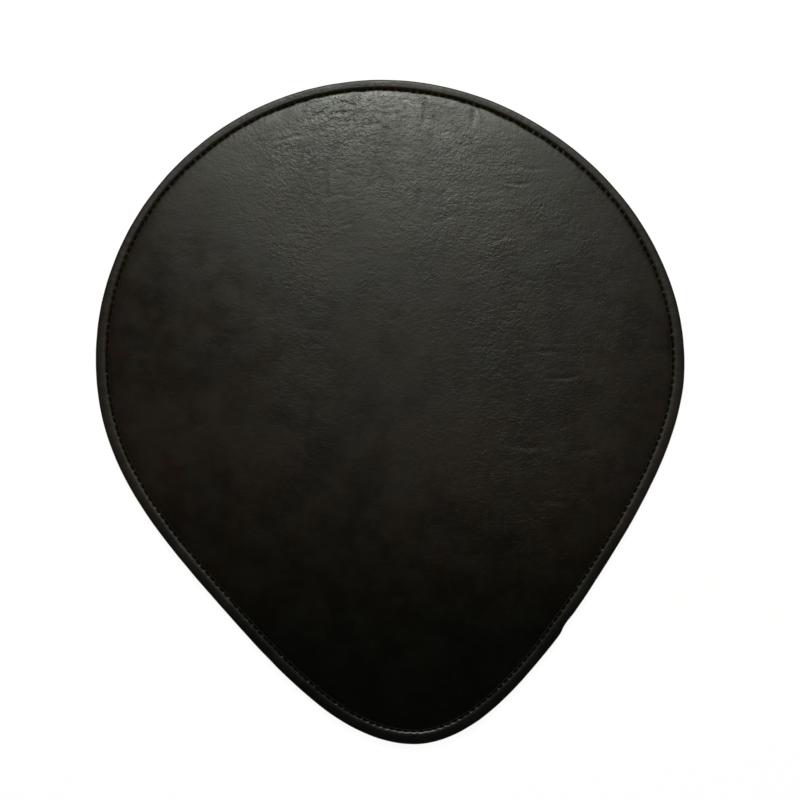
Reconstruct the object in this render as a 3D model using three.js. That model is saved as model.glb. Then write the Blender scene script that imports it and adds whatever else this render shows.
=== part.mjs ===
// Mouse pad with a padded leather cover that is turned under at its edge and stitched all round.
// Millimetres, +Z up. The pad lies face up and its round end points along +Y.
// The origin is on the surface that it lies on, under the middle of its outline.

import * as THREE from 'three';

// Overall size
const pad_width = 203.2;
const pad_length = 229.2;

// Sheets, from the desk up
const base_thickness = 1.2;
const leather_thickness = 0.8;
const foam_thickness = 2.2;

// Turned edge
const hem_width = 10;
const edge_roll = 1.5;
const bead_drop = 0.3;

// Stitched channel in the top face, and the soft shoulder beside it
const seam_inset = 3.6;
const channel_width = 2.6;
const channel_floor_width = 0.9;
const channel_depth = 1.1;
const lip_drop = 0.2;
const shoulder_width = 5;

// Stitches
const stitch_pitch = 2.5;
const stitch_rise = 0.15;
const needle_thread_diameter = 0.5;
const bobbin_thread_diameter = 0.35;
const thread_clearance = 0.1;

// Base outside the stitches, and the groove under them
const base_margin = 1.8;
const base_groove_width = 1.3;
const base_groove_floor_width = 0.7;

// Play between sheets that do not lie flat on each other
const clearance = 0.3;

// Outline of the pad, anticlockwise from its round end, as shares of its width and length.
// Each anchor gives its place, the heading of the edge in degrees, how far the curve pulls
// before and after it, and the number of facets up to the next anchor.
const outline_shares = [
  { x: -0.015, y: 0.5, heading: 180, before: 0.274, after: 0.264, facets: 14 },
  { x: -0.5, y: 0.078, heading: -90, before: 0.234, after: 0.15, facets: 8 },
  { x: -0.284, y: -0.296, heading: -45, before: 0.175, after: 0.141, facets: 9 },
  { x: 0.042, y: -0.5, heading: 0, before: 0.122, after: 0.117, facets: 9 },
  { x: 0.348, y: -0.255, heading: 54, before: 0.134, after: 0.127, facets: 7 },
  { x: 0.5, y: 0.072, heading: 90, before: 0.107, after: 0.225, facets: 15 },
];

// Heights that the sheets add up to
const hem_top = base_thickness + leather_thickness;
const foam_top = hem_top + foam_thickness;
const pad_height = foam_top + leather_thickness;

// Places across the border, as distances in from the edge
const floor_outer = seam_inset - channel_floor_width / 2;
const floor_inner = seam_inset + channel_floor_width / 2;
const lip_outer = seam_inset - channel_width / 2;
const lip_inner = seam_inset + channel_width / 2;
const field_inset = lip_inner + shoulder_width;
const bead_inset = lip_outer / 2;
const bead_lining_inset = bead_inset + leather_thickness / 2;

// Heights across the border
const floor_height = pad_height - channel_depth;
const bead_height = pad_height - bead_drop;
const bead_middle = (base_thickness + bead_height) / 2;

// The edge as one closed run of curves

function place(anchor) {
  return new THREE.Vector2(anchor.x * pad_width, anchor.y * pad_length);
}

function pull(anchor, share) {
  const heading = THREE.MathUtils.degToRad(anchor.heading);
  const step = new THREE.Vector2(Math.cos(heading) * pad_width, Math.sin(heading) * pad_length);
  return place(anchor).addScaledVector(step, share);
}

const edge_curves = outline_shares.map((anchor, index) => {
  const next = outline_shares[(index + 1) % outline_shares.length];
  const leaving = pull(anchor, anchor.after);
  const arriving = pull(next, -next.before);
  return new THREE.CubicBezierCurve(place(anchor), leaving, arriving, place(next));
});

// A station is a point on the edge with the direction that points into the pad there.
function stationOn(curve, t) {
  const heading = curve.getTangent(t);
  return { point: curve.getPoint(t), inward: new THREE.Vector2(-heading.y, heading.x) };
}

const edge_stations = edge_curves.flatMap((curve, index) => {
  const { facets } = outline_shares[index];
  return Array.from({ length: facets }, (_, step) => stationOn(curve, step / facets));
});

// Line of the stitches, a fixed distance in from the edge
class Seam extends THREE.Curve {
  stationAt(t) {
    const along = t * edge_curves.length;
    const index = Math.min(Math.floor(along), edge_curves.length - 1);
    return stationOn(edge_curves[index], along - index);
  }

  getPoint(t) {
    const { point, inward } = this.stationAt(t);
    return point.addScaledVector(inward, seam_inset);
  }
}

const seam = new Seam();
seam.arcLengthDivisions = 100 * edge_curves.length;
const stitch_count = Math.round(seam.getLength() / stitch_pitch);

// Two stations a stitch: the even ones are at the needle holes and the odd ones between them.
const stitch_stations = Array.from({ length: 2 * stitch_count }, (_, step) => {
  return seam.stationAt(seam.getUtoTmapping(step / (2 * stitch_count)));
});

// A solid whose section runs round the pad. The section's corners are distances in from the
// edge and heights, from the top face outwards, down, and back along the underside. A section
// that is a closed ring makes an endless strand. Any other is closed by flat faces that fill
// the inside of its first and last corners.
function solidRound(stations, sectionAt, closedRing = false) {
  const section_size = sectionAt(0).length;
  const positions = [];
  stations.forEach(({ point, inward }, index) => {
    for (const [inset, height] of sectionAt(index)) {
      const corner = point.clone().addScaledVector(inward, inset);
      positions.push(corner.x, corner.y, height);
    }
  });

  const faces = [];
  const corner_count = stations.length * section_size;
  const wall_count = closedRing ? section_size : section_size - 1;
  for (let row = 0; row < corner_count; row += section_size) {
    const next_row = (row + section_size) % corner_count;
    for (let wall = 0; wall < wall_count; wall += 1) {
      const next_wall = (wall + 1) % section_size;
      faces.push(row + wall, row + next_wall, next_row + next_wall);
      faces.push(row + wall, next_row + next_wall, next_row + wall);
    }
    if (!closedRing) {
      const last = section_size - 1;
      faces.push(corner_count, row, next_row);
      faces.push(corner_count + 1, next_row + last, row + last);
    }
  }
  if (!closedRing) {
    const section = sectionAt(0);
    positions.push(0, 0, section[0][1]);
    positions.push(0, 0, section[section_size - 1][1]);
  }

  const geometry = new THREE.BufferGeometry();
  geometry.setAttribute('position', new THREE.Float32BufferAttribute(positions, 3));
  geometry.setIndex(faces);
  return geometry;
}

// One skin of leather: field, channel, bead and hem outside, and the same way back inside
function leatherCover() {
  const section = [
    [field_inset, pad_height],
    [lip_inner, pad_height - lip_drop],
    [floor_inner, floor_height],
    [floor_outer, floor_height],
    [lip_outer, bead_height - lip_drop],
    [bead_inset, bead_height],
    [bead_inset * (1 - Math.SQRT1_2), THREE.MathUtils.lerp(bead_middle, bead_height, Math.SQRT1_2)],
    [0, bead_middle],
    [edge_roll * (1 - Math.SQRT1_2), THREE.MathUtils.lerp(bead_middle, base_thickness, Math.SQRT1_2)],
    [edge_roll, base_thickness],
    [hem_width, base_thickness],
    [hem_width, hem_top],
    [edge_roll, hem_top],
    [leather_thickness, bead_middle],
    [bead_lining_inset, bead_height - leather_thickness],
    [floor_outer, floor_height - leather_thickness],
    [floor_inner, floor_height - leather_thickness],
    [lip_inner + lip_drop, foam_top - lip_drop],
    [field_inset, foam_top],
  ];
  return solidRound(edge_stations, () => section);
}

// Foam that fills the cover above the hem and the board
function foamPadding() {
  const section = [
    [field_inset, foam_top],
    [lip_inner + lip_drop, foam_top - lip_drop - clearance],
    [floor_inner, floor_height - leather_thickness - clearance],
    [floor_outer, floor_height - leather_thickness - clearance],
    [bead_lining_inset + clearance, bead_height - leather_thickness - clearance],
    [leather_thickness + clearance, bead_middle],
    [edge_roll + clearance, hem_top],
  ];
  return solidRound(edge_stations, () => section);
}

// Fibre board as thick as the hem, so that the base lies flat on both
function stiffenerBoard() {
  const section = [
    [hem_width + clearance, hem_top],
    [hem_width + clearance, base_thickness],
  ];
  return solidRound(edge_stations, () => section);
}

// Flat sheet with a groove that keeps the lower thread off the desk
const groove_depth = thread_clearance + stitch_rise + bobbin_thread_diameter + thread_clearance;

function nonslipBase() {
  const section = [
    [seam_inset - base_margin, base_thickness],
    [seam_inset - base_margin, 0],
    [seam_inset - base_groove_width / 2, 0],
    [seam_inset - base_groove_floor_width / 2, groove_depth],
    [seam_inset + base_groove_floor_width / 2, groove_depth],
    [seam_inset + base_groove_width / 2, 0],
  ];
  return solidRound(edge_stations, () => section);
}

// A four-sided strand along the seam. It is at hole_height at the needle holes, and moves by
// rise between them.
function threadRun(diameter, hole_height, rise) {
  const radius = diameter / 2;
  const sectionAt = (index) => {
    const height = hole_height + (index % 2) * rise;
    return [
      [seam_inset, height + radius],
      [seam_inset - radius, height],
      [seam_inset, height - radius],
      [seam_inset + radius, height],
    ];
  };
  return solidRound(stitch_stations, sectionAt, true);
}

function needleThread() {
  const hole_height = floor_height + thread_clearance + needle_thread_diameter / 2;
  return threadRun(needle_thread_diameter, hole_height, stitch_rise);
}

function bobbinThread() {
  const hole_height = groove_depth - thread_clearance - bobbin_thread_diameter / 2;
  return threadRun(bobbin_thread_diameter, hole_height, -stitch_rise);
}

// Assembly

const mouse_pad = new THREE.Group();

function addPiece(name, geometry, color, roughness) {
  geometry.computeVertexNormals();
  const material = new THREE.MeshStandardMaterial({ color, roughness, metalness: 0 });
  const piece = new THREE.Mesh(geometry, material);
  piece.name = name;
  mouse_pad.add(piece);
}

addPiece('nonslip_base', nonslipBase(), '#1c1b1a', 0.9);
addPiece('bobbin_thread', bobbinThread(), '#171513', 0.7);
addPiece('stiffener_board', stiffenerBoard(), '#6d6252', 0.95);
addPiece('foam_padding', foamPadding(), '#3a3a3c', 0.95);
addPiece('leather_cover', leatherCover(), '#28231e', 0.45);
addPiece('needle_thread', needleThread(), '#1b1917', 0.6);

export default mouse_pad;
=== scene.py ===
# Looks of a padded mouse pad: a leather cover that is turned under at its edge and stitched
# all round, over foam and board, on a thin non-slip base.
# Metres, +Z up, in the frame of the solids. The camera looks straight down on the pad.

import math
from functools import cached_property, reduce

import bmesh
import bpy
import numpy as np
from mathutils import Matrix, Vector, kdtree
from mathutils.geometry import delaunay_2d_cdt


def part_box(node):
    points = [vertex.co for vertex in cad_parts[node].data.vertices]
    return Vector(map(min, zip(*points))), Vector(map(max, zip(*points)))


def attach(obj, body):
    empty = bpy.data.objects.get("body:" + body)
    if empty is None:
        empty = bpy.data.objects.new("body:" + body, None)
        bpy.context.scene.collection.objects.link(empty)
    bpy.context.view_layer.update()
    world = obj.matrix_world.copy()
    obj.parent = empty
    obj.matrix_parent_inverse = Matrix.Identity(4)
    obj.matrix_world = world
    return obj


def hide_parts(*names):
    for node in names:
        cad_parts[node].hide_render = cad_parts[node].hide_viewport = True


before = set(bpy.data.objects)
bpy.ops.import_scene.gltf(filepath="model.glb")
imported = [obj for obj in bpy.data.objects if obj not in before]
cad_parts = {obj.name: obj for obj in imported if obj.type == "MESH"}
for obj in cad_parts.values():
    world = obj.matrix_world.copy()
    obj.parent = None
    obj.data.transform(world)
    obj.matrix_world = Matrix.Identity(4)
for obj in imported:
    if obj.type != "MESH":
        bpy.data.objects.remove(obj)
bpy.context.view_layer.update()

mm = 0.001
full_turn = 2 * math.pi
scene = bpy.context.scene

# Sizes that the solids give
cover_low, cover_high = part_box("leather_cover")
pad_width = cover_high[0] - cover_low[0]
pad_length = cover_high[1] - cover_low[1]
pad_height = cover_high[2]
base_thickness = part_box("nonslip_base")[1][2]
hem_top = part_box("stiffener_board")[1][2]
foam_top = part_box("foam_padding")[1][2]
leather_thickness = pad_height - foam_top

# Border, as distances in from the edge and heights
seam_inset = 3.6 * mm
channel_half_width = 1.3 * mm
channel_floor_half_width = 0.45 * mm
channel_floor_height = pad_height - 1.1 * mm
stitch_bed = channel_floor_height + 0.05 * mm
lip_drop = 0.2 * mm
bead_height = pad_height - 0.3 * mm
bead_inset = 1.15 * mm
edge_middle = (base_thickness + bead_height) / 2
edge_roll = 1.5 * mm
hem_width = 10 * mm
shoulder_width = 5 * mm
field_inset = seam_inset + channel_half_width + shoulder_width
ring_inset = 5.6 * mm

# Base outside the stitches, and the groove under them
base_margin = 1.8 * mm
base_edge_rounding = 0.25 * mm
groove_half_width = 0.65 * mm
groove_floor_half_width = 0.35 * mm
groove_depth = 0.7 * mm

# Stitches
stitch_pitch = 2.5 * mm
needle_thread_diameter = 0.5 * mm
bobbin_thread_diameter = 0.35 * mm
thread_clearance = 0.08 * mm

# Outline of the pad, anticlockwise from its round end, as shares of its width and length.
# Each anchor gives its x and y, the heading of the edge in degrees, and how far the curve
# pulls before and after it.
outline_shares = (
    (-0.015, 0.5, 180, 0.274, 0.264),
    (-0.5, 0.078, -90, 0.234, 0.15),
    (-0.284, -0.296, -45, 0.175, 0.141),
    (0.042, -0.5, 0, 0.122, 0.117),
    (0.348, -0.255, 54, 0.134, 0.127),
    (0.5, 0.072, 90, 0.107, 0.225),
)

# Smooth random numbers

noise_lattice = 512


def noise(x, y, seed):
    """Smooth noise of about -0.7 to 0.7 on a lattice one unit wide."""
    angles = np.random.default_rng(seed).uniform(0, full_turn, (noise_lattice, noise_lattice))
    cell_x = np.floor(x).astype(int)
    cell_y = np.floor(y).astype(int)
    across = x - cell_x
    along = y - cell_y

    def corner(step_x, step_y):
        angle = angles[(cell_x + step_x) % noise_lattice, (cell_y + step_y) % noise_lattice]
        return np.cos(angle) * (across - step_x) + np.sin(angle) * (along - step_y)

    ease_x = across**3 * (across * (across * 6 - 15) + 10)
    ease_y = along**3 * (along * (along * 6 - 15) + 10)
    near = corner(0, 0) * (1 - ease_x) + corner(1, 0) * ease_x
    far = corner(0, 1) * (1 - ease_x) + corner(1, 1) * ease_x
    return near * (1 - ease_y) + far * ease_y


def noise_round(share, cells, seed):
    """Smooth noise that closes on itself after one turn round the pad."""
    radius = cells / full_turn
    middle = noise_lattice / 2
    x = middle + radius * np.cos(full_turn * share)
    y = middle + radius * np.sin(full_turn * share)
    return noise(x, y, seed)


def smooth_step(low, high, value):
    t = np.clip((value - low) / (high - low), 0, 1)
    return t * t * (3 - 2 * t)


def bell(distance, reach, power=2):
    """1 at no distance, and falling to 0 beyond the reach."""
    return np.exp(-((distance / reach) ** power))


# The edge and the line of the stitches

samples_per_curve = 400


def edge_controls():
    """The four control points of each curve of the edge."""
    size = np.array([pad_width, pad_length])
    anchors = []
    for x, y, degrees, before, after in outline_shares:
        heading = math.radians(degrees)
        point = np.array([x, y]) * size
        pull = np.array([math.cos(heading), math.sin(heading)]) * size
        anchors.append((point - before * pull, point, point + after * pull))
    pairs = zip(anchors, anchors[1:] + anchors[:1])
    curves = [(start, leaving, arriving, end) for (_, start, leaving), (arriving, end, _) in pairs]
    return np.array(curves)


curve_controls = edge_controls()


def edge_at(turns):
    """Points of the edge and the directions into the pad there. Turns count the curves."""
    turns = np.mod(turns, len(curve_controls))
    index = np.floor(turns).astype(int)
    t = (turns - index)[:, None]
    start, leaving, arriving, end = (curve_controls[index, corner] for corner in range(4))
    point = (1 - t) ** 3 * start + t**3 * end
    point += 3 * (1 - t) ** 2 * t * leaving + 3 * (1 - t) * t**2 * arriving
    heading = (1 - t) ** 2 * (leaving - start) + t**2 * (end - arriving)
    heading += 2 * (1 - t) * t * (arriving - leaving)
    heading /= np.linalg.norm(heading, axis=1)[:, None]
    return point, np.stack([-heading[:, 1], heading[:, 0]], axis=1)


fine_turns = np.linspace(0, len(curve_controls), len(curve_controls) * samples_per_curve + 1)
fine_points, fine_inward = edge_at(fine_turns)
fine_steps = np.diff(fine_points + fine_inward * seam_inset, axis=0)
fine_lengths = np.concatenate([[0], np.cumsum(np.linalg.norm(fine_steps, axis=1))])
seam_length = fine_lengths[-1]
stitch_count = round(seam_length / stitch_pitch)


def edge_beside(share):
    """Points of the edge beside shares of the seam, and the directions into the pad there."""
    return edge_at(np.interp(share * seam_length, fine_lengths, fine_turns))


def stations(per_stitch, ahead=0.0):
    """Shares of a turn in equal steps, the first one ahead of a needle hole by part of a step."""
    count = round(stitch_count * per_stitch)
    return (np.arange(count) + ahead) / count


def share_near(x, y):
    """Share of the turn at the point of the edge nearest to a place."""
    nearest = np.argmin(np.linalg.norm(fine_points - np.array([x, y]), axis=1))
    return fine_lengths[nearest] / seam_length


# Each stitch has its own pull on the leather and its own lie
pull_range = (0.4, 1.3)
slant_spread = 0.05 * mm
lift_spread = 0.03 * mm
stitch_random = np.random.default_rng(11)
stitch_pull = stitch_random.uniform(*pull_range, stitch_count)
stitch_slant = stitch_random.normal(0, slant_spread, stitch_count)
stitch_lift = stitch_random.normal(0, lift_spread, stitch_count)

seam_wander = 0.12 * mm
edge_wander = 0.13 * mm

# How far the seam shifts from the edge, by how the border faces from the round end onwards
seam_facings = (-1.0, -0.6, 0.0, 0.7, 1.0)
seam_offsets = tuple(offset * mm for offset in (-0.2, -0.22, 0.6, 0.72, 1.1))

# The turned hem laps over itself at one place, with a swelling before it and a notch after it
lap_share = share_near(59.3 * mm, -75.4 * mm)
lap_bulge = 0.3 * mm
lap_rise_length = 16 * mm
lap_fall_length = 3.2 * mm
lap_notch = 0.25 * mm


def lap_swelling(share):
    """How far the edge stands out near the lap: a slow rise, a quick fall and a notch."""
    past = (np.mod(share - lap_share + 0.5, 1) - 0.5) * seam_length
    rise = smooth_step(-lap_rise_length, 0, past)
    fall = smooth_step(lap_fall_length / 2, -lap_fall_length / 2, past)
    return lap_bulge * rise * fall - lap_notch * bell(past - lap_fall_length, lap_fall_length)


hole_reach_share = 0.17


def hole_nearness(share):
    """About 1 around a needle hole and 0 between holes, with each hole's own pull."""
    phase = share * stitch_count
    nearest = np.round(phase)
    fall = bell(phase - nearest, hole_reach_share, 4)
    return fall * stitch_pull[nearest.astype(int) % stitch_count]


def drift_at(share, inset, inward):
    """Small wander of the border in and out, with the swelling at the lap."""
    seam = seam_wander * (noise_round(share, 26, 1) + noise_round(share, 90, 2))
    seam = seam + np.interp(inward[:, 1], seam_facings, seam_offsets)
    edge = edge_wander * (noise_round(share, 30, 3) + 0.5 * noise_round(share, 110, 4))
    edge = edge - lap_swelling(share)
    towards_seam = smooth_step(0, seam_inset, inset)
    towards_field = smooth_step(seam_inset, ring_inset, inset)
    return edge * (1 - towards_seam) + seam * towards_seam * (1 - towards_field)


def place(share, inset, height):
    """Points of one ring round the pad. Inset and height are numbers or one value a station."""
    point, inward = edge_beside(share)
    inset = np.broadcast_to(inset, share.shape)
    height = np.broadcast_to(height, share.shape)
    flat = point + inward * (inset + drift_at(share, inset, inward))[:, None]
    return np.column_stack([flat, height])


def add_object(name, data):
    """New object in the scene that shows a mesh, a light or a camera."""
    thing = bpy.data.objects.new(name, data)
    scene.collection.objects.link(thing)
    return thing


# Meshes made of rings

# Part of a cell that stays free between a grid and the ring round it
join_margin_share = 0.6
join_tolerance = 1e-6


class RingMesh:
    """Mesh of rings round the pad, bands between them, and fillings inside them."""

    def __init__(self):
        self.points = []
        self.faces = []
        self.count = 0

    def add(self, points):
        indices = np.arange(self.count, self.count + len(points))
        self.points.append(points)
        self.count += len(points)
        return indices

    def band(self, first, second):
        """Faces between two rings, the first of which may have a whole multiple of points."""
        ratio = len(first) // len(second)
        for index, corner in enumerate(second):
            next_corner = second[(index + 1) % len(second)]
            run = [first[(index * ratio + step) % len(first)] for step in range(ratio + 1)]
            half = (ratio + 1) // 2
            if ratio == 1:
                self.faces.append((run[0], run[1], next_corner, corner))
                continue
            for step in range(ratio):
                tip = corner if step < half else next_corner
                self.faces.append((run[step], run[step + 1], tip))
            self.faces.append((corner, run[half], next_corner))

    def bands(self, rings):
        for first, second in zip(rings[:-1], rings[1:]):
            self.band(first, second)

    def fill(self, ring, columns, rows, height_at):
        """Grid inside a ring, joined to it by triangles. height_at gives the grid's heights."""
        loop = np.concatenate(self.points)[ring, :2]
        tree = plan_tree(loop)
        grid_x, grid_y = np.meshgrid(columns, rows, indexing="ij")
        margin = join_margin_share * min(np.diff(columns).max(), np.diff(rows).max())
        inside = points_inside(grid_x, grid_y, loop)
        reach = np.zeros(grid_x.shape)
        for corner in zip(*np.nonzero(inside)):
            reach[corner] = tree.find((grid_x[corner], grid_y[corner], 0))[2]
        usable = inside & (reach > margin)
        cells = np.logical_and.reduce(cell_corners(usable))

        used = np.zeros(usable.shape, bool)
        for corner in cell_corners(used):
            corner |= cells
        x, y, inner = grid_x[used], grid_y[used], reach[used]
        numbers = np.full(used.shape, -1)
        numbers[used] = self.add(np.column_stack([x, y, height_at(x, y, inner)]))
        quads = np.stack([corner[cells] for corner in cell_corners(numbers)], axis=1)
        self.faces.extend(map(tuple, quads))
        self.join(ring, quads, columns, rows, cells)

    def join(self, ring, quads, columns, rows, cells):
        """Triangles between a ring and the stepped border of the grid inside it."""
        sides = np.concatenate([quads[:, [a, (a + 1) % 4]] for a in range(4)])
        unique, uses = np.unique(np.sort(sides, axis=1), axis=0, return_counts=True)
        border = unique[uses == 1]
        names = np.concatenate([ring, np.unique(border)])
        local = {name: index for index, name in enumerate(names)}
        flat = np.concatenate(self.points)[names, :2]
        edges = [(local[a], local[b]) for a, b in border]
        edges += [(index, (index + 1) % len(ring)) for index in range(len(ring))]
        scaled = [tuple(map(float, point / mm)) for point in flat]
        result = delaunay_2d_cdt(scaled, edges, [], 1, join_tolerance, True)
        triangles, origins = result[2:4]
        for triangle in triangles:
            originals = [origins[corner][0] for corner in triangle]
            middle = flat[originals].mean(axis=0)
            column = np.searchsorted(columns, middle[0]) - 1
            row = np.searchsorted(rows, middle[1]) - 1
            in_grid = 0 <= column < cells.shape[0] and 0 <= row < cells.shape[1]
            if not (in_grid and cells[column, row]):
                self.faces.append(tuple(int(names[corner]) for corner in originals))

    def build(self, name, material, attributes=None):
        """Blender object of the mesh, smooth shaded, with its faces turned outwards."""
        mesh = bpy.data.meshes.new(name)
        points = np.concatenate(self.points)
        faces = [tuple(int(corner) for corner in face) for face in self.faces]
        mesh.from_pydata(points.tolist(), [], faces)
        for label, values in (attributes or {}).items():
            layer = mesh.attributes.new(label, "FLOAT", "POINT")
            layer.data.foreach_set("value", values.astype(np.float32))
        shaped = bmesh.new()
        shaped.from_mesh(mesh)
        bmesh.ops.recalc_face_normals(shaped, faces=shaped.faces)
        shaped.to_mesh(mesh)
        shaped.free()
        mesh.polygons.foreach_set("use_smooth", [True] * len(mesh.polygons))
        mesh.materials.append(material)
        return add_object(name, mesh)


def cell_corners(grid):
    """What a grid holds at each of the four corners of its cells."""
    return grid[:-1, :-1], grid[1:, :-1], grid[1:, 1:], grid[:-1, 1:]


def plan_tree(points):
    """Search tree of points in plan."""
    tree = kdtree.KDTree(len(points))
    for index, (x, y) in enumerate(points):
        tree.insert((x, y, 0), index)
    tree.balance()
    return tree


def points_inside(x, y, loop):
    """Which points lie inside a closed loop, by counting the sides that pass beside them."""
    inside = np.zeros(x.shape, bool)
    ends = np.roll(loop, -1, axis=0)
    for (x0, y0), (x1, y1) in zip(loop, ends):
        if y0 == y1:
            continue
        crosses = (y0 > y) != (y1 > y)
        inside ^= crosses & (x < x0 + (y - y0) * (x1 - x0) / (y1 - y0))
    return inside


def even_grid(spacing):
    """Columns and rows of an even grid as large as the pad."""
    sizes = (pad_width, pad_length)
    return [np.linspace(-size / 2, size / 2, math.ceil(size / spacing) + 1) for size in sizes]


def graded_places(size, widest, narrowing, nearness_at):
    """Columns or rows of a grid whose steps narrow where nearness_at nears 1."""
    places = [-size / 2]
    while places[-1] < size / 2:
        places.append(places[-1] + widest - narrowing * nearness_at(places[-1]))
    return np.array(places)


def level(height):
    """Heights of a grid that is flat."""
    return lambda x, y, reach: np.full(x.shape, height)


def section(inset, height, offsets):
    """Corners of a section, in mm from a place on it: how far into the pad, and how far up."""
    return [(inset + inward * mm, height + up * mm) for inward, up in offsets]


def rounded(corners):
    """A run of corners with its ends kept and its bends rounded like a bent sheet."""
    run = np.array(corners)
    middles = (run[:-1] + run[1:]) / 2
    finer = np.empty((2 * len(run) - 1, 2))
    finer[0], finer[-1] = run[0], run[-1]
    finer[1::2] = middles
    finer[2:-1:2] = (middles[:-1] + 2 * run[1:-1] + middles[1:]) / 4
    return finer


# Field of the leather cover

# Folds as x, y, heading in degrees, length, width, depth and bend, in mm. A fold with a depth
# below zero is a ridge.
main_folds = (
    # Round end
    (-23, 103.5, 42, 8, 0.5, 0.12, 0.1),
    (-15, 105.8, -6, 8, 0.5, 0.08, -0.2),
    (-3, 105, -9, 9, 0.5, 0.08, 0.25),
    (-16, 102.6, 3, 10, 0.45, 0.06, -0.15),
    (-15, 100, 2, 9, 0.45, 0.06, 0.1),
    (1, 103, 5, 12, 0.45, 0.05, 0.2),
    (12, 105.5, -10, 9, 0.5, 0.06, 0.2),
    (-28, 100, 8, 9, 0.5, 0.06, -0.2),
    (-35, 94, 12, 15, 0.5, 0.06, -0.1),
    (-24, 97, 14, 8, 0.5, 0.06, 0.2),
    (-20, 95.5, 50, 4, 0.45, 0.06, 0.0),
    (-30, 90, -50, 7, 0.5, 0.05, 0.1),
    (43, 79, -6, 12, 0.5, 0.05, 0.2),
    (48, 84, -10, 9, 0.5, 0.06, 0.2),
    # Right side
    (60, 12, 5, 12, 0.6, 0.08, 0.15),
    (56, 20, -14, 10, 0.6, 0.08, -0.2),
    (48, -12, -4, 14, 0.6, 0.08, 0.12),
    (66, -14, 8, 9, 0.6, 0.08, -0.2),
    (58, -31, 1, 10, 0.6, 0.07, 0.1),
    # Upper left, faint
    (-70.5, 61.6, -1, 4, 0.6, 0.02, 0.1),
    (-62.5, 61, 4, 6, 0.6, 0.016, 0.1),
    (-68, 57.4, 1, 5, 0.6, 0.014, -0.1),
    # Upright
    (-12.9, 103, 89, 9, 0.7, 0.16, 0.05),
    (-0.8, 93, 91, 8, 0.7, 0.13, -0.05),
    (12.3, 104.5, 89, 9, 0.7, 0.16, 0.05),
    (29, 102, 87, 6, 0.7, 0.14, 0.0),
    (-22.3, 78.5, 91, 10, 0.7, 0.12, 0.05),
    (10.3, 74, 88, 6, 0.7, 0.1, 0.0),
    # Ridges beside the seam at the round end
    (-16.7, 108, -6, 4, 0.6, -0.13, 0.2),
    (-11, 108.8, 14, 4, 0.5, -0.09, 0.1),
    (-7, 109.2, 30, 2.5, 0.5, -0.1, 0.1),
    (-1.8, 109.2, 2, 6, 0.5, -0.12, -0.1),
    (4, 108.8, -12, 4.5, 0.5, -0.1, 0.2),
    (9.5, 108.4, -4, 3, 0.5, -0.08, 0.1),
    (-27.4, 106, 18, 3, 0.5, -0.1, 0.1),
    (-25, 103.6, 20, 3.5, 0.5, -0.09, 0.2),
    (-16.5, 103.9, 0, 4, 0.5, -0.07, -0.2),
)
swell_depth_share = 0.4
swell_away_share = 1.5
small_fold_count = 150
well_inside = 20 * mm

# Zones where the grain is more creased: x, y, reach along x and y in mm, and amount
crease_zones = (
    (-12, 98, 34, 16, 0.52),
    (-14, 107, 24, 6, 0.2),
    (36, 88, 18, 12, 0.2),
    (-4, 72, 28, 16, 0.12),
    (-48, 88, 16, 14, 0.12),
    (33, 60, 50, 36, 0.28),
    (44, -8, 30, 46, 0.4),
    (78, 22, 14, 40, 0.1),
    (-36, 78, 24, 22, 0.14),
    (-31, 60, 12, 22, 0.28),
    (-32, 14, 13, 34, 0.22),
)
crease_floor = 0.15
crease_limits = (0.05, 1.3)
crease_patch_share = 0.5

# Near the seam the leather is stretched, so less creased, but not at the round end
calm_band = 14 * mm
calm_share = 0.3
round_end_rows = (60 * mm, 100 * mm)
round_end_sides = (55 * mm, 25 * mm)

# Zones that are duller than the rest, or shinier where the amount is below zero
dull_zones = (
    (28, 0, 56, 34, 1.15),
    (-20, 70, 34, 22, 1.7),
    (72, 54, 24, 20, 0.4),
    (38, 66, 18, 14, -0.55),
    (-15, 107, 20, 7, -0.5),
    (-12, 108.5, 24, 4, -0.8),
    (-82, 42, 32, 40, -1.1),
)

# Swells of fuller padding: height, where each starts, is full, starts to fall and ends along y,
# and its middle and reach along x, in mm
padding_swells = (
    (0.3, -20, 96, 92, 112, -12, 30),
    (0.12, 0, 66, 66, 94, -6, 28),
)

# Heights of the leather's own waves
broad_height = 0.05 * mm
wave_height = 0.035 * mm
small_height = 0.018 * mm
relief_start = seam_inset + 0.4 * mm
relief_full = seam_inset + 2.4 * mm


def zone_sum(zones, x, y):
    """The amounts of soft-edged zones, added up at each place."""
    total = np.zeros(x.shape)
    for zone_x, zone_y, reach_x, reach_y, amount in zones:
        across = (x / mm - zone_x) / reach_x
        along = (y / mm - zone_y) / reach_y
        total += amount * np.exp(-(across**2) - along**2)
    return total


def wave(x, y, length, width, seed, shift=0):
    """Smooth noise on the field, with cells of that length along x and width along y in mm."""
    return noise(x / (length * mm) + shift, y / (width * mm) + shift, seed)


def crease_amount(x, y, inset):
    """How creased the leather is at a place, from 0, drawn smooth, to about 1."""
    amount = crease_floor + zone_sum(crease_zones, x, y)
    amount *= 1 + crease_patch_share * wave(x, y, 14, 9, 21, 40)
    calmed = smooth_step(seam_inset, seam_inset + calm_band, inset)
    stretched = 1 - calm_share + calm_share * calmed
    at_end = smooth_step(*round_end_rows, y) * smooth_step(*round_end_sides, np.abs(x))
    return np.clip(amount * np.maximum(stretched, at_end), *crease_limits)


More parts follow.
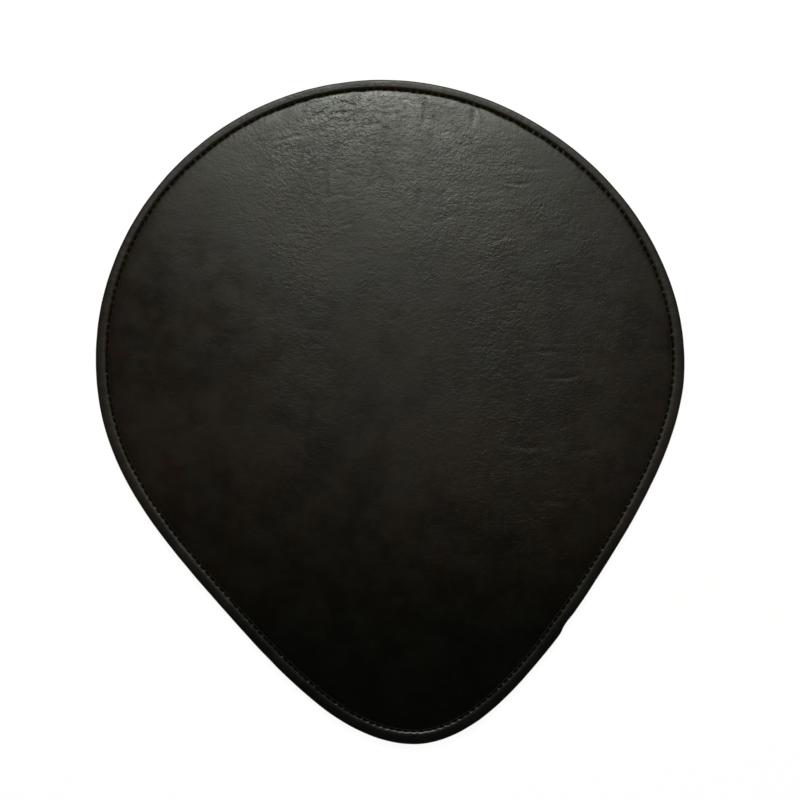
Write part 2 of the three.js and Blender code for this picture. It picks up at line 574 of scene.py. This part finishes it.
def fold_depth(x, y):
    """Height that the folds add: valleys with a soft swell beside them, or ridges."""
    height = np.zeros(x.shape)
    for fold_x, fold_y, degrees, length, width, depth, bend in all_folds():
        heading = math.radians(degrees)
        from_x = x / mm - fold_x
        from_y = y / mm - fold_y
        along = from_x * math.cos(heading) + from_y * math.sin(heading)
        across = from_y * math.cos(heading) - from_x * math.sin(heading)
        half = length / 2
        across = across - bend * (along**2 / half - half / 2)
        valley = bell(across, width)
        swell = bell(across + swell_away_share * width, width)
        height += bell(along, half, 4) * depth * mm * (swell_depth_share * swell - valley)
    return height


def all_folds():
    """The main folds, and seeded smaller ones that thin out away from the round end."""
    random = np.random.default_rng(5)
    folds = list(main_folds)
    for _ in range(small_fold_count):
        x = random.uniform(-85, 88)
        y = random.uniform(-60, 108)
        creased = crease_amount(*np.array([[x * mm], [y * mm], [well_inside]]))[0]
        heading = random.normal(0, 22)
        length = random.uniform(4, 11)
        width = random.uniform(0.45, 0.8)
        depth = random.uniform(0.02, 0.07) * creased
        bend = random.normal(0, 0.25)
        folds.append((x, y, heading, length, width, depth, bend))
    return folds


def crown(x, y):
    """Height that the fuller padding adds."""
    total = np.zeros(x.shape)
    for height, start, full, fall, end, middle, reach in padding_swells:
        rise = smooth_step(start * mm, full * mm, y) * smooth_step(end * mm, fall * mm, y)
        total += height * mm * rise * bell(x - middle * mm, reach * mm)
    return total


def field_relief(x, y, inset):
    """Height of the leather's own waves and folds above the flat of the field."""
    broad = broad_height * wave(x, y, 24, 17, 31)
    waves = wave_height * wave(x, y, 7, 3.4, 32, 90) + small_height * wave(x, y, 3.4, 1.7, 33, 9)
    fade = smooth_step(relief_start, relief_full, inset)
    faded = (broad + crown(x, y) + fold_depth(x, y)) * fade
    return faded + waves * crease_amount(x, y, inset)


shoulder_drop = 0.15 * mm


def shoulder_height(inset):
    """Top face from the seam, which pulls it down, to the flat field."""
    short = np.clip((field_inset - inset) / (field_inset - seam_inset), 0, None)
    return pad_height - shoulder_drop * short**6


# Stitched border of the leather cover

# The edge bead is highest near the edge and leans into the pad, most at the round end
bead_lean = 0.004
bead_lean_round_end = 0.055
bead_fill_round_end = 0.05 * mm
bead_fill_away = 0.9 * mm
bead_fill_reach = 0.3 * mm
bead_wave_depth = 0.04 * mm
round_end_start = 0.2
round_end_full = 0.9

# Parts of the groove, by their distance from its middle
groove_shift = 0.05 * mm
channel_reach = 0.55 * mm
wall_away = 0.42 * mm
wall_reach = 0.35 * mm
lip_away = 0.6 * mm

# The thread pulls the two sides of the groove together at each needle hole
pinch = 0.12 * mm
pinch_reach = 0.65 * mm
bridge_outer_height = bead_height - 0.1 * mm
bridge_inner_height = pad_height - 0.24 * mm
bridge_half_width = 0.5 * mm

# How far the groove is closed there, by the direction into the pad in degrees
bridge_directions = (-180, -135, -90, -45, 0, 45, 90, 135, 180)
bridge_shares = (0.42, 1.0, 0.42, 0.7, 0.33, 0.3, 0.15, 0.35, 0.42)

# The field's lip beside the groove
pucker_depth = 0.012 * mm
pucker_reach = 1.2 * mm
lip_wave_depth = 0.11 * mm
lip_ragged_depth = 0.34 * mm
lip_ragged_reach = 0.5 * mm

# Sections of the border: groove, bead, upper and lower half of the rounded side
groove_offsets = ((0.32, 0.65), (0.24, 0.25), (0.06, 0), (-0.08, 0), (-0.28, 0.2))
bead_offsets = ((-0.4, -0.45), (-0.58, -0.22), (-0.95, -0.09), (-1.3, 0))
upper_side_offsets = ((0.5, 0), (0.12, -0.15), (-0.02, -0.7))
lower_side_offsets = ((0.3, 0.28), (0.9, -0.01))
side_bulge = 0.03 * mm
lining_spacing = 6 * mm

# Gathers of the turned hem
gather_depth = 0.1 * mm
gather_start = 0.2 * mm
gather_floor_share = 0.25

# Steps of the field's grid, and how much they narrow where the folds are
column_steps = (1.7 * mm, 0.8 * mm)
column_middle = -3 * mm
row_steps = (0.95 * mm, 0.4 * mm)


def border_ring(share, inset, height):
    """A ring of the top border: the leather is pinched and puckered at the needle holes."""
    inward = edge_beside(share)[1]
    at_round_end = smooth_step(round_end_start, round_end_full, -inward[:, 1])
    direction = np.degrees(np.arctan2(inward[:, 1], inward[:, 0]))
    hole = hole_nearness(share)
    away = inset - seam_inset
    from_middle = away + groove_shift
    in_channel = bell(from_middle, channel_reach, 6)
    on_wall = bell(abs(from_middle) - wall_away, wall_reach)
    on_lip = math.exp(-max(abs(from_middle) - lip_away, 0) / pucker_reach) * (1 - in_channel)

    ends = (-bridge_half_width, bridge_half_width)
    bridge = np.interp(from_middle, ends, (bridge_outer_height, bridge_inner_height))
    closed = np.minimum(hole * np.interp(direction, bridge_directions, bridge_shares), 1)
    raised = height + max(bridge - height, 0) * in_channel * closed
    raised = raised - pucker_depth * hole * on_lip

    on_bead = smooth_step(edge_middle, bead_height, height) * (away < 0)
    bead_waves = noise_round(share, 150, 6) + 0.6 * noise_round(share, 420, 7)
    raised = raised + bead_wave_depth * bead_waves * on_bead
    lean = bead_lean + bead_lean_round_end * at_round_end
    raised = raised + lean * (bead_inset - inset) * on_bead
    filled = bell(away + bead_fill_away, bead_fill_reach)
    raised = raised + bead_fill_round_end * at_round_end * filled

    moved = inset - math.copysign(pinch, from_middle) * hole * on_wall
    moved = moved + lip_wave_depth * noise_round(share, 330, 8) * on_wall
    on_ragged = bell(from_middle - lip_away, lip_ragged_reach)
    ragged = noise_round(share, 150, 10) + 0.5 * noise_round(share, 420, 12)
    moved = moved + lip_ragged_depth * ragged * on_ragged * at_round_end
    return place(share, moved, raised)


def top_section():
    """The cover's top border from the field to the widest place of the side."""
    shoulder = [ring_inset, seam_inset + 1.2 * mm, seam_inset + 0.75 * mm]
    lip_inset = seam_inset + 0.45 * mm
    return rounded([
        *((inset, shoulder_height(inset)) for inset in shoulder),
        (lip_inset, shoulder_height(lip_inset) - 0.05 * mm),
        *section(seam_inset, stitch_bed, groove_offsets),
        *section(seam_inset, bead_height, bead_offsets),
        *section(0, bead_height, upper_side_offsets),
        (-side_bulge, edge_middle),
    ])


def side_section():
    """The lower half of the side, which turns under the pad."""
    return rounded([
        (-side_bulge, edge_middle),
        (0.02 * mm, edge_middle - 0.8 * mm),
        *section(0, base_thickness, lower_side_offsets),
        (edge_roll + 0.3 * mm, base_thickness),
    ])


def inner_section():
    """The turned hem, and the way back along the inside of the leather."""
    hem_middle = 0.5 * (edge_roll + hem_width)
    bead_lining = bead_height - leather_thickness - 0.1 * mm
    floor_lining = channel_floor_height - leather_thickness
    return [
        (hem_middle, base_thickness),
        (hem_width, base_thickness),
        (hem_width, hem_top),
        (hem_middle, hem_top),
        (edge_roll + 0.4 * mm, hem_top),
        (leather_thickness + 0.1 * mm, hem_top + 0.15 * mm),
        (leather_thickness, edge_middle),
        (bead_inset, bead_lining),
        (seam_inset - channel_half_width, bead_lining),
        (seam_inset - channel_floor_half_width, floor_lining),
        (seam_inset + channel_floor_half_width, floor_lining),
        (seam_inset + channel_half_width, pad_height - lip_drop - leather_thickness - 0.05 * mm),
        (ring_inset, shoulder_height(ring_inset) - leather_thickness),
    ]


def field_grid():
    """Columns and rows of the field, closest in the middle and at the round end."""

    def near_middle(x):
        return smooth_step(60 * mm, 25 * mm, abs(x - column_middle))

    def near_round_end(y):
        return smooth_step(-50 * mm, 60 * mm, y)

    columns = graded_places(pad_width, *column_steps, near_middle)
    return columns, graded_places(pad_length, *row_steps, near_round_end)


def cover_labels(points, pinched):
    """Values at each point that the leather's material reads."""
    tree = plan_tree(fine_points)
    inset = np.array([tree.find((x, y, 0))[2] for x, y, _ in points])
    x, y = points[:, 0], points[:, 1]
    return {
        "creased": crease_amount(x, y, inset),
        "inset_mm": inset / mm,
        "dull": zone_sum(dull_zones, x, y),
        # Rises towards the narrow end, away from the light: painted shade in the leather's colour
        # there, and a smoother finish
        "tip_shade_and_gloss": smooth_step(-15 * mm, -85 * mm, y),
        "pinched": np.concatenate([pinched, np.zeros(len(points) - len(pinched))]),
    }


def leather_cover():
    cover = RingMesh()
    fine = stations(6, ahead=0.5)
    coarse = stations(2)
    rings = []
    pinched = []
    for inset, height in top_section():
        ring = border_ring(fine, inset, height)
        if inset > relief_start:
            relief = field_relief(ring[:, 0], ring[:, 1], np.full(len(ring), inset))
            ring[:, 2] += relief * smooth_step(relief_start, ring_inset, inset)
        rings.append(cover.add(ring))
        near_seam = bell(inset - seam_inset, pinch_reach, 4)
        pinched.append(near_seam * np.minimum(hole_nearness(fine), 1))
    for inset, height in side_section()[1:]:
        crimp = hem_crimp(coarse) * smooth_step(gather_start, edge_roll, inset)
        rings.append(cover.add(place(coarse, inset, height + crimp)))
    for inset, height in inner_section():
        rings.append(cover.add(place(coarse, inset, height)))
    cover.bands(rings)

    def field_height(x, y, reach):
        inset = ring_inset + reach
        return shoulder_height(inset) + field_relief(x, y, inset)

    def lining_height(x, y, reach):
        return shoulder_height(ring_inset + reach) - leather_thickness

    cover.fill(rings[0], *field_grid(), field_height)
    cover.fill(rings[-1], *even_grid(lining_spacing), lining_height)

    labels = cover_labels(np.concatenate(cover.points), np.concatenate(pinched))
    piece = cover.build("cover", leather_material(), labels)
    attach(piece, "root")
    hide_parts("leather_cover")
    return piece


def hem_crimp(share):
    """Small gathers of the turned hem, deepest where it turns round the narrow end."""
    points, _ = edge_beside(share)
    nearness = smooth_step(-40 * mm, -95 * mm, points[:, 1])
    narrow = gather_floor_share + (1 - gather_floor_share) * nearness
    return gather_depth * narrow * np.abs(noise_round(share, 180, 9))


# Foam

foam_gap = 0.04 * mm
foam_channel_gap = 0.2 * mm
foam_bead_gap = 0.45 * mm
foam_start = ring_inset + 0.2 * mm
foam_underside = hem_top + 0.02 * mm
foam_wobble = 0.05 * mm
foam_grid_spacing = 3 * mm


def foam_padding():
    lip = channel_half_width
    floor = channel_floor_half_width
    top = shoulder_height(ring_inset) - leather_thickness - foam_gap
    channel_top = channel_floor_height - leather_thickness - foam_channel_gap
    bead_top = bead_height - leather_thickness - foam_bead_gap
    run = rounded([
        (foam_start, top),
        (seam_inset + lip + 0.1 * mm, top - 0.15 * mm),
        (seam_inset + floor, channel_top),
        (seam_inset - floor, channel_top),
        (seam_inset - lip + 0.1 * mm, bead_top),
        (leather_thickness + 0.5 * mm, bead_top),
        (leather_thickness + 0.25 * mm, edge_middle),
        (edge_roll + 0.4 * mm, hem_top + 0.05 * mm),
        (edge_roll + 1.2 * mm, foam_underside),
    ])
    foam = RingMesh()
    share = stations(1)
    wobble = foam_wobble * noise_round(share, 80, 41)
    rings = [foam.add(place(share, inset + wobble, height)) for inset, height in run]
    foam.bands(rings)

    def top_height(x, y, reach):
        return shoulder_height(foam_start + reach) - leather_thickness - foam_gap

    grid = even_grid(foam_grid_spacing)
    foam.fill(rings[0], *grid, top_height)
    foam.fill(rings[-1], *grid, level(foam_underside))
    piece = foam.build("foam", foam_material())
    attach(piece, "root")
    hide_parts("foam_padding")


# Base

corner_share = 0.3
dimple_depth = 0.2 * mm
dimple_reach = 0.5 * mm
cut_wobble = 0.06 * mm
cut_width = 0.5 * mm
base_grid_spacing = 4 * mm


def base_section():
    """The base from its top over the rounded edge to the inner side of the groove."""
    edge = seam_inset - base_margin
    rounding = base_edge_rounding
    corner = corner_share * rounding
    half_groove = [
        (groove_half_width, 0),
        (0.8 * groove_half_width, 0.25 * groove_depth),
        (groove_floor_half_width, 0.9 * groove_depth),
    ]
    return [
        (seam_inset, base_thickness),
        (edge + rounding, base_thickness),
        (edge + corner, base_thickness - corner),
        (edge, base_thickness - rounding),
        (edge, rounding),
        (edge + corner, corner),
        (edge + rounding, 0),
        *((seam_inset - away, height) for away, height in half_groove),
        (seam_inset, groove_depth),
        *((seam_inset + away, height) for away, height in reversed(half_groove)),
        (seam_inset + 2 * groove_half_width, 0),
    ]


def nonslip_base():
    base = RingMesh()
    share = stations(4)
    hole = hole_nearness(share)
    cut_end = seam_inset - base_margin + cut_width
    rings = []
    for inset, height in base_section():
        in_groove = bell(inset - seam_inset, dimple_reach) * (height < 0.9 * base_thickness)
        dimple = dimple_depth * hole * in_groove * (height > 0)
        cut = cut_wobble * noise_round(share, 200, 51) * (inset < cut_end)
        rings.append(base.add(place(share, inset + cut, height + dimple)))
    base.bands(rings)
    grid = even_grid(base_grid_spacing)
    base.fill(rings[0], *grid, level(base_thickness))
    base.fill(rings[-1], *grid, level(0))
    piece = base.build("base", rubber_material())
    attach(piece, "root")
    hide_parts("nonslip_base")


# Threads

plies = 3
ply_relief = 0.13
sides_per_ply = 4
rings_per_stitch = 14
dive_sharpness = 5
needle_height = stitch_bed + needle_thread_diameter / 2
bobbin_height = groove_depth - thread_clearance - bobbin_thread_diameter / 2 - 0.15 * mm

# Each thread's solid, diameter, height between and in the holes, and length of a turn of plies
threads = (
    ("needle_thread", needle_thread_diameter, needle_height, stitch_bed - 0.4 * mm, 1.7 * mm),
    ("bobbin_thread", bobbin_thread_diameter, bobbin_height, groove_depth + 0.3 * mm, 1.3 * mm),
)


def thread_strand(node, diameter, height_between, height_in_hole, twist_pitch):
    """One endless strand along the seam, laid up of plies, that dives at each needle hole."""
    share = stations(rings_per_stitch)
    phase = share * stitch_count
    stitch = np.floor(phase).astype(int) % stitch_count
    dive = (0.5 + 0.5 * np.cos(full_turn * phase)) ** dive_sharpness
    swing = np.sin(full_turn * phase)
    height = height_between + stitch_lift[stitch] * (1 - dive)
    height = height + (height_in_hole - height_between) * dive
    centre = place(share, seam_inset + stitch_slant[stitch] * swing, height)

    ahead = np.roll(centre, -1, axis=0) - np.roll(centre, 1, axis=0)
    ahead /= np.linalg.norm(ahead, axis=1)[:, None]
    side = np.cross(ahead, (0, 0, 1))
    side /= np.linalg.norm(side, axis=1)[:, None]
    up = np.cross(side, ahead)
    steps = np.linalg.norm(np.roll(centre, -1, axis=0) - centre, axis=1)
    run_length = steps.sum()
    travelled = np.concatenate([[0], np.cumsum(steps)[:-1]])
    twist = full_turn * round(run_length / twist_pitch) * travelled / run_length

    sides = plies * sides_per_ply
    strand = RingMesh()
    rings = []
    for corner in range(sides):
        angle = twist + full_turn * corner / sides
        lobe = abs(math.cos(math.pi * corner / sides_per_ply))
        radius = diameter / 2 * (1 - ply_relief + ply_relief * lobe)
        around = np.cos(angle)[:, None] * side + np.sin(angle)[:, None] * up
        rings.append(strand.add(centre + radius * around))
    strand.bands(rings + rings[:1])
    piece = strand.build(f"{node}_stitches", thread_material())
    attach(piece, "root")
    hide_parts(node)


# Materials


class Nodes:
    """Node material, with its places given in mm and its colours as red, green and blue."""

    def __init__(self, name):
        self.material = bpy.data.materials.new(name)
        self.material.use_nodes = True
        self.tree = self.material.node_tree
        self.shader = self.tree.nodes["Principled BSDF"]

    @cached_property
    def place(self):
        coordinates = self.add("ShaderNodeTexCoord")
        return self.scaled(coordinates.outputs["Object"], (1 / mm,) * 3)

    def add(self, kind, inputs=None, **settings):
        node = self.tree.nodes.new(kind)
        for key, value in settings.items():
            setattr(node, key, value)
        for key, value in (inputs or {}).items():
            self.put(node.inputs[key], value)
        return node

    def put(self, socket, value):
        if isinstance(value, bpy.types.NodeSocket):
            self.tree.links.new(value, socket)
        else:
            socket.default_value = value

    def math(self, operation, first, second, kind="ShaderNodeMath"):
        return self.add(kind, {0: first, 1: second}, operation=operation).outputs[0]

    def times(self, first, second):
        return self.math("MULTIPLY", first, second)

    def plus(self, *terms):
        return reduce(lambda total, term: self.math("ADD", total, term), terms)

    def scaled(self, vector, factors):
        return self.math("MULTIPLY", vector, factors, "ShaderNodeVectorMath")

    def noise(self, scale, detail=2.0, roughness=0.5, vector=None, output="Fac"):
        vector = self.place if vector is None else vector
        inputs = {"Vector": vector, "Scale": scale, "Detail": detail, "Roughness": roughness}
        return self.add("ShaderNodeTexNoise", inputs).outputs[output]

    def streaks(self, factors, detail=2.0, roughness=0.5, vector=None):
        """Noise that is drawn out along an axis, by its waves per mm along each."""
        vector = self.place if vector is None else vector
        return self.noise(1.0, detail, roughness, self.scaled(vector, factors))

    def warped(self, vector, scale, amount):
        """The places moved about by a smooth noise."""
        shift = self.noise(scale, vector=vector, output="Color")
        centred = self.math("SUBTRACT", shift, (0.5,) * 3, "ShaderNodeVectorMath")
        return self.math("ADD", vector, self.scaled(centred, (amount,) * 3), "ShaderNodeVectorMath")

    def ramp(self, value, low, high, to_low=0.0, to_high=1.0):
        inputs = {0: value, 1: low, 2: high, 3: to_low, 4: to_high}
        node = self.add("ShaderNodeMapRange", inputs, interpolation_type="SMOOTHSTEP")
        return node.outputs[0]

    def voronoi(self, vector, scale, randomness=1.0, feature="F1"):
        inputs = {"Vector": vector, "Scale": scale, "Randomness": randomness}
        return self.add("ShaderNodeTexVoronoi", inputs, feature=feature).outputs["Distance"]

    def cell_edges(self, vector, width):
        """Lines between irregular cells, 1 in the middle of a line."""
        distance = self.voronoi(vector, 1.0, feature="DISTANCE_TO_EDGE")
        return self.ramp(distance, 0.0, width, 1.0, 0.0)

    def blend(self, share, first, second):
        """A colour between two, each of which is a socket or a colour."""
        node = self.add("ShaderNodeMix", {0: share}, data_type="RGBA")
        for socket, colour in zip(node.inputs[6:8], (first, second)):
            self.put(socket, (*colour, 1) if isinstance(colour, tuple) else colour)
        return node.outputs[2]

    def clouded(self, scale, first, second):
        """A colour that drifts between two in soft clouds."""
        return self.blend(self.ramp(self.noise(scale, 3.0), 0.35, 0.65), first, second)

    def attribute(self, name):
        return self.add("ShaderNodeAttribute", attribute_name=name).outputs["Fac"]

    def finish(self, tone, roughness, height, depth, gloss=0.5):
        """Sets the shader's sockets and lays a relief of that depth over the surface."""
        bump = self.add("ShaderNodeBump", {"Height": height, "Distance": depth})
        sockets = self.shader.inputs
        sockets["Specular IOR Level"].default_value = gloss
        self.put(sockets["Normal"], bump.outputs["Normal"])
        self.put(sockets["Base Color"], tone)
        self.put(sockets["Roughness"], roughness)
        return self.material


def leather_material():
    """Black-brown leather with a fine, mostly sideways wrinkled grain."""
    nodes = Nodes("wrinkled_leather")
    creased = nodes.attribute("creased")
    tip_shade_and_gloss = nodes.attribute("tip_shade_and_gloss")

    warped = nodes.warped(nodes.warped(nodes.place, 0.22, 3.2), 0.9, 0.8)
    long_lines = nodes.cell_edges(nodes.scaled(warped, (0.2, 0.58, 0.4)), 0.16)
    short_lines = nodes.cell_edges(nodes.scaled(warped, (0.55, 1.2, 0.8)), 0.2)
    long_patches = nodes.ramp(nodes.streaks((0.35, 0.5, 0.4)), 0.42, 0.6)
    short_patches = nodes.ramp(nodes.streaks((0.5, 0.8, 0.6)), 0.4, 0.62)
    short_creases = nodes.times(nodes.times(short_lines, short_patches), 0.45)
    creases = nodes.times(nodes.plus(nodes.times(long_lines, long_patches), short_creases), creased)

    dashes = nodes.streaks((0.6, 1.2, 1.0), vector=warped)
    crumple = nodes.streaks((1.15, 0.85, 1.0), roughness=0.55, vector=warped)
    height = nodes.plus(
        nodes.times(dashes, nodes.ramp(creased, 0.2, 1.0, 0.12, 1.0)),
        nodes.times(crumple, nodes.ramp(creased, 0.05, 0.85, 0.0, 1.6)),
        nodes.times(nodes.noise(5.5, 2.0, 0.6), 0.04),
        nodes.times(creases, -0.48),
    )

    red_stain = nodes.ramp(nodes.streaks((0.13, 0.11, 0.1)), 0.52, 0.68, 0.0, 0.7)
    green_stain = nodes.ramp(nodes.streaks((0.11, 0.14, 0.2)), 0.54, 0.7, 0.0, 0.6)
    specks = nodes.times(nodes.ramp(nodes.noise(0.9, 3.0), 0.5, 0.75), 0.35)
    layers = (
        (red_stain, (0.0095, 0.0028, 0.001)),
        (green_stain, (0.0038, 0.0038, 0.0014)),
        (specks, (0.008, 0.006, 0.004)),
        # Darker colour along the creases: painted shade in the crease lines
        (nodes.times(creases, 0.3), (0.0018, 0.0015, 0.0012)),
        # Darker, greener colour towards the narrow end: painted shade
        (nodes.times(tip_shade_and_gloss, 0.9), (0.0009, 0.0012, 0.0005)),
    )
    tone = nodes.clouded(0.045, (0.0048, 0.002, 0.0004), (0.009, 0.0042, 0.0006))
    for share, colour in layers:
        tone = nodes.blend(share, tone, colour)

    roughness = nodes.plus(
        nodes.ramp(nodes.noise(0.12, 3.0), 0.3, 0.7, 0.31, 0.37),
        nodes.times(nodes.attribute("dull"), 0.05),
        nodes.times(tip_shade_and_gloss, -0.05),
        nodes.times(creases, 0.12),
        nodes.ramp(nodes.attribute("inset_mm"), 2.9, 3.9, 0.075, 0.0),
        nodes.times(nodes.attribute("pinched"), 0.22),
    )
    return nodes.finish(tone, roughness, height, depth=0.06 * mm, gloss=0.28)


def thread_material():
    """Black polyester thread, its fibres fine enough to show only as a soft sheen."""
    nodes = Nodes("sewing_thread")
    black = (0.0015, 0.0013, 0.001)
    grey_black = (0.003, 0.0025, 0.002)
    sheen = (0.006, 0.005, 0.004)
    fibres = nodes.noise(9.0, 3.0, 0.65)
    lengths = nodes.noise(0.25)
    tone = nodes.blend(nodes.ramp(lengths, 0.35, 0.65), black, grey_black)
    tone = nodes.blend(nodes.ramp(fibres, 0.45, 0.7), tone, sheen)
    roughness = nodes.ramp(fibres, 0.3, 0.7, 0.85, 0.95)
    return nodes.finish(tone, roughness, fibres, depth=0.03 * mm, gloss=0.05)


def rubber_material():
    """Black rubber with rows of small soft dots against slipping."""
    nodes = Nodes("nonslip_rubber")
    black = (0.011, 0.0105, 0.01)
    grey_black = (0.018, 0.017, 0.016)
    dust = (0.03, 0.029, 0.028)
    inputs = {"Vector": nodes.place, "Angle": math.radians(45)}
    turned = nodes.add("ShaderNodeVectorRotate", inputs, rotation_type="Z_AXIS")
    flat = nodes.scaled(turned.outputs[0], (1, 1, 0))
    dots = nodes.voronoi(flat, 0.75, randomness=0.0)
    raised = nodes.ramp(dots, 0.18, 0.38, 1.0, 0.0)
    fine = nodes.noise(3.0, 4.0, 0.6)
    height = nodes.plus(raised, nodes.times(fine, 0.35))
    tone = nodes.clouded(0.06, black, grey_black)
    tone = nodes.blend(nodes.times(nodes.ramp(fine, 0.5, 0.75), 0.5), tone, dust)
    roughness = nodes.ramp(fine, 0.3, 0.7, 0.68, 0.85)
    return nodes.finish(tone, roughness, height, depth=0.1 * mm)


def foam_material():
    """Dark grey foam, full of small open cells, with painted shade inside the cells."""
    nodes = Nodes("open_cell_foam")
    dark_grey = (0.04, 0.04, 0.044)
    grey = (0.065, 0.065, 0.07)
    pore_shade = (0.012, 0.012, 0.013)
    pores = nodes.ramp(nodes.voronoi(nodes.place, 2.6), 0.1, 0.5)
    clouds = nodes.noise(0.1, 3.0)
    tone = nodes.blend(nodes.ramp(clouds, 0.35, 0.65), dark_grey, grey)
    # Near-black colour in the hollows of the cells: painted shade
    tone = nodes.blend(nodes.ramp(pores, 0.0, 1.0, 0.7, 0.0), tone, pore_shade)
    roughness = nodes.ramp(clouds, 0.3, 0.7, 0.85, 0.95)
    return nodes.finish(tone, roughness, pores, depth=0.25 * mm)


def board_material():
    """Grey-brown fibre board with short pressed fibres."""
    nodes = Nodes("fibre_board")
    brown = (0.13, 0.095, 0.065)
    pale_brown = (0.23, 0.17, 0.12)
    fleck = (0.07, 0.05, 0.035)
    across = nodes.streaks((0.5, 4.0, 4.0), 3.0, 0.6)
    along = nodes.streaks((4.0, 0.5, 4.0), 3.0, 0.6)
    fibres = nodes.math("MAXIMUM", across, along)
    flecks = nodes.noise(0.7, 4.0, 0.65)
    tone = nodes.blend(nodes.ramp(fibres, 0.4, 0.75), brown, pale_brown)
    tone = nodes.blend(nodes.ramp(flecks, 0.58, 0.7, 0.0, 0.6), tone, fleck)
    roughness = nodes.ramp(fibres, 0.3, 0.7, 0.8, 0.92)
    return nodes.finish(tone, roughness, fibres, depth=0.06 * mm)


# Studio

studio_radius = 1.6
studio_wall_height = 0.9
studio_curve = 0.35
studio_curve_steps = 8
studio_segments = 96
floor_radii = (0.3, 0.8, studio_radius - studio_curve)
floor_white_seen = 0.95
floor_shadow_share = 0.08
floor_white = 0.8


def studio_material():
    """White to the camera and in reflections, with a little of its own light and shadow."""
    nodes = Nodes("studio_floor")
    nodes.tree.nodes.remove(nodes.shader)
    rays = nodes.add("ShaderNodeLightPath").outputs
    seen = nodes.math("MAXIMUM", rays["Is Camera Ray"], rays["Is Glossy Ray"])
    seen = nodes.math("MAXIMUM", seen, rays["Is Transmission Ray"])
    glow = nodes.add("ShaderNodeEmission", {"Strength": floor_white_seen})
    faint = nodes.add("ShaderNodeBsdfDiffuse", {"Color": (floor_shadow_share,) * 3 + (1,)})
    shown = nodes.add("ShaderNodeAddShader", {0: glow.outputs[0], 1: faint.outputs[0]})
    plain = nodes.add("ShaderNodeBsdfDiffuse", {"Color": (floor_white,) * 3 + (1,)})
    inputs = {0: seen, 1: plain.outputs[0], 2: shown.outputs[0]}
    mixed = nodes.add("ShaderNodeMixShader", inputs)
    nodes.put(nodes.tree.nodes["Material Output"].inputs["Surface"], mixed.outputs[0])
    return nodes.material


def studio_floor():
    """Round floor that curves up into a low wall."""
    profile = [(radius, 0.0) for radius in floor_radii]
    for step in range(1, studio_curve_steps + 1):
        angle = step / studio_curve_steps * math.pi / 2
        out = studio_radius - studio_curve * (1 - math.sin(angle))
        profile.append((out, studio_curve * (1 - math.cos(angle))))
    profile.append((studio_radius, studio_wall_height))

    points = [(0.0, 0.0, 0.0)]
    faces = []
    for row, (radius, height) in enumerate(profile):
        for step in range(studio_segments):
            angle = full_turn * step / studio_segments
            points.append((radius * math.cos(angle), radius * math.sin(angle), height))
            first = 1 + row * studio_segments + step
            second = 1 + row * studio_segments + (step + 1) % studio_segments
            if row > 0:
                faces.append((first - studio_segments, first, second, second - studio_segments))
            else:
                faces.append((0, first, second))
    mesh = bpy.data.meshes.new("studio_floor")
    mesh.from_pydata(points, [], faces)
    mesh.materials.append(studio_material())
    floor = add_object("studio_floor", mesh)


softbox_place = (-0.018, 0.4, 0.7)
softbox_target = (0.0, 0.03, 0.0)
softbox_size = (0.224, 0.25)
softbox_power = 5.5
softbox_colour = (0.95, 1.0, 0.885)
room_light = 0.01


def studio_light():
    """One soft light beyond the round end, and a dim room."""
    data = bpy.data.lights.new("softbox", "AREA")
    data.shape = "RECTANGLE"
    data.size, data.size_y = softbox_size
    data.energy = softbox_power
    data.color = softbox_colour
    softbox = add_object("softbox", data)
    forward = np.array(softbox_target) - np.array(softbox_place)
    forward = forward / np.linalg.norm(forward)
    softbox.location = softbox_place
    softbox.rotation_euler = (math.acos(-forward[2]), 0, math.atan2(-forward[0], forward[1]))
    softbox.visible_camera = False
    world = bpy.data.worlds.new("room")
    world.use_nodes = True
    background = world.node_tree.nodes["Background"]
    background.inputs["Color"].default_value = (1, 1, 1, 1)
    background.inputs["Strength"].default_value = room_light
    scene.world = world


# The photograph is 276.7 mm wide at the pad, and its middle is a little off the pad's
view_width = 276.7 * mm
view_centre = (3.407 * mm, 4.168 * mm)
view_plane = 2.95 * mm
camera_distance = 0.45


def photo_camera():
    data = bpy.data.cameras.new("camera")
    data.sensor_width = 36
    data.lens = data.sensor_width * camera_distance / view_width
    data.clip_start = 0.01
    camera = add_object("camera", data)
    camera.location = (*view_centre, view_plane + camera_distance)
    scene.camera = camera


# Scene

photo_camera()
studio_light()
studio_floor()
scene.view_settings.view_transform = "Standard"

cover_piece = leather_cover()
foam_padding()
nonslip_base()
for thread in threads:
    thread_strand(*thread)

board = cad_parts["stiffener_board"]
board.data.materials.clear()
board.data.materials.append(board_material())
